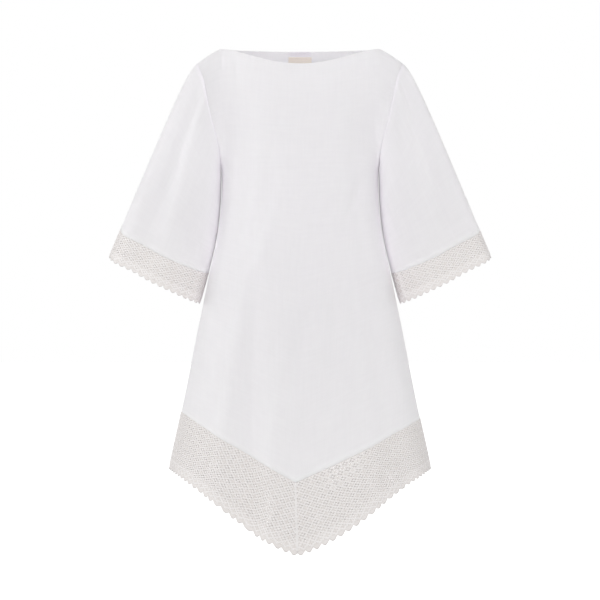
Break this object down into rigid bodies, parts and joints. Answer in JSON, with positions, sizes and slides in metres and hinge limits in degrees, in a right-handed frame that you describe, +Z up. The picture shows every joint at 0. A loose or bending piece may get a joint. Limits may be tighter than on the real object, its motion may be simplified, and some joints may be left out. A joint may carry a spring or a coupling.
{
  "type": "midi dress",
  "caption": "Hollow A-line midi dress with a boat neck, flared elbow sleeves and scalloped crochet bands at the cuffs and pointed hem.",
  "frame": {"origin": "midway between the two neck points, the inner ends of the shoulder seams, where the dress rests on the shoulders", "axes": "+Z up, front faces -Y, the wearer's right is at -X"},
  "size_m": [0.8208, 0.3549, 1.0816],
  "materials": {
    "linen": "matt plain-weave linen, off-white",
    "crochet": "matt cotton crochet, off-white",
    "woven_label": "blank woven tape, beige"
  },
  "bodies": {
    "root": {"front": "linen", "back": "linen", "sleeve_right": "linen", "sleeve_left": "linen", "cuff_lace_right": "crochet", "cuff_lace_left": "crochet", "hem_lace_front_right": "crochet", "hem_lace_front_left": "crochet", "hem_lace_back_right": "crochet", "hem_lace_back_left": "crochet", "neck_label": "woven_label"}
  },
  "joints": []
}
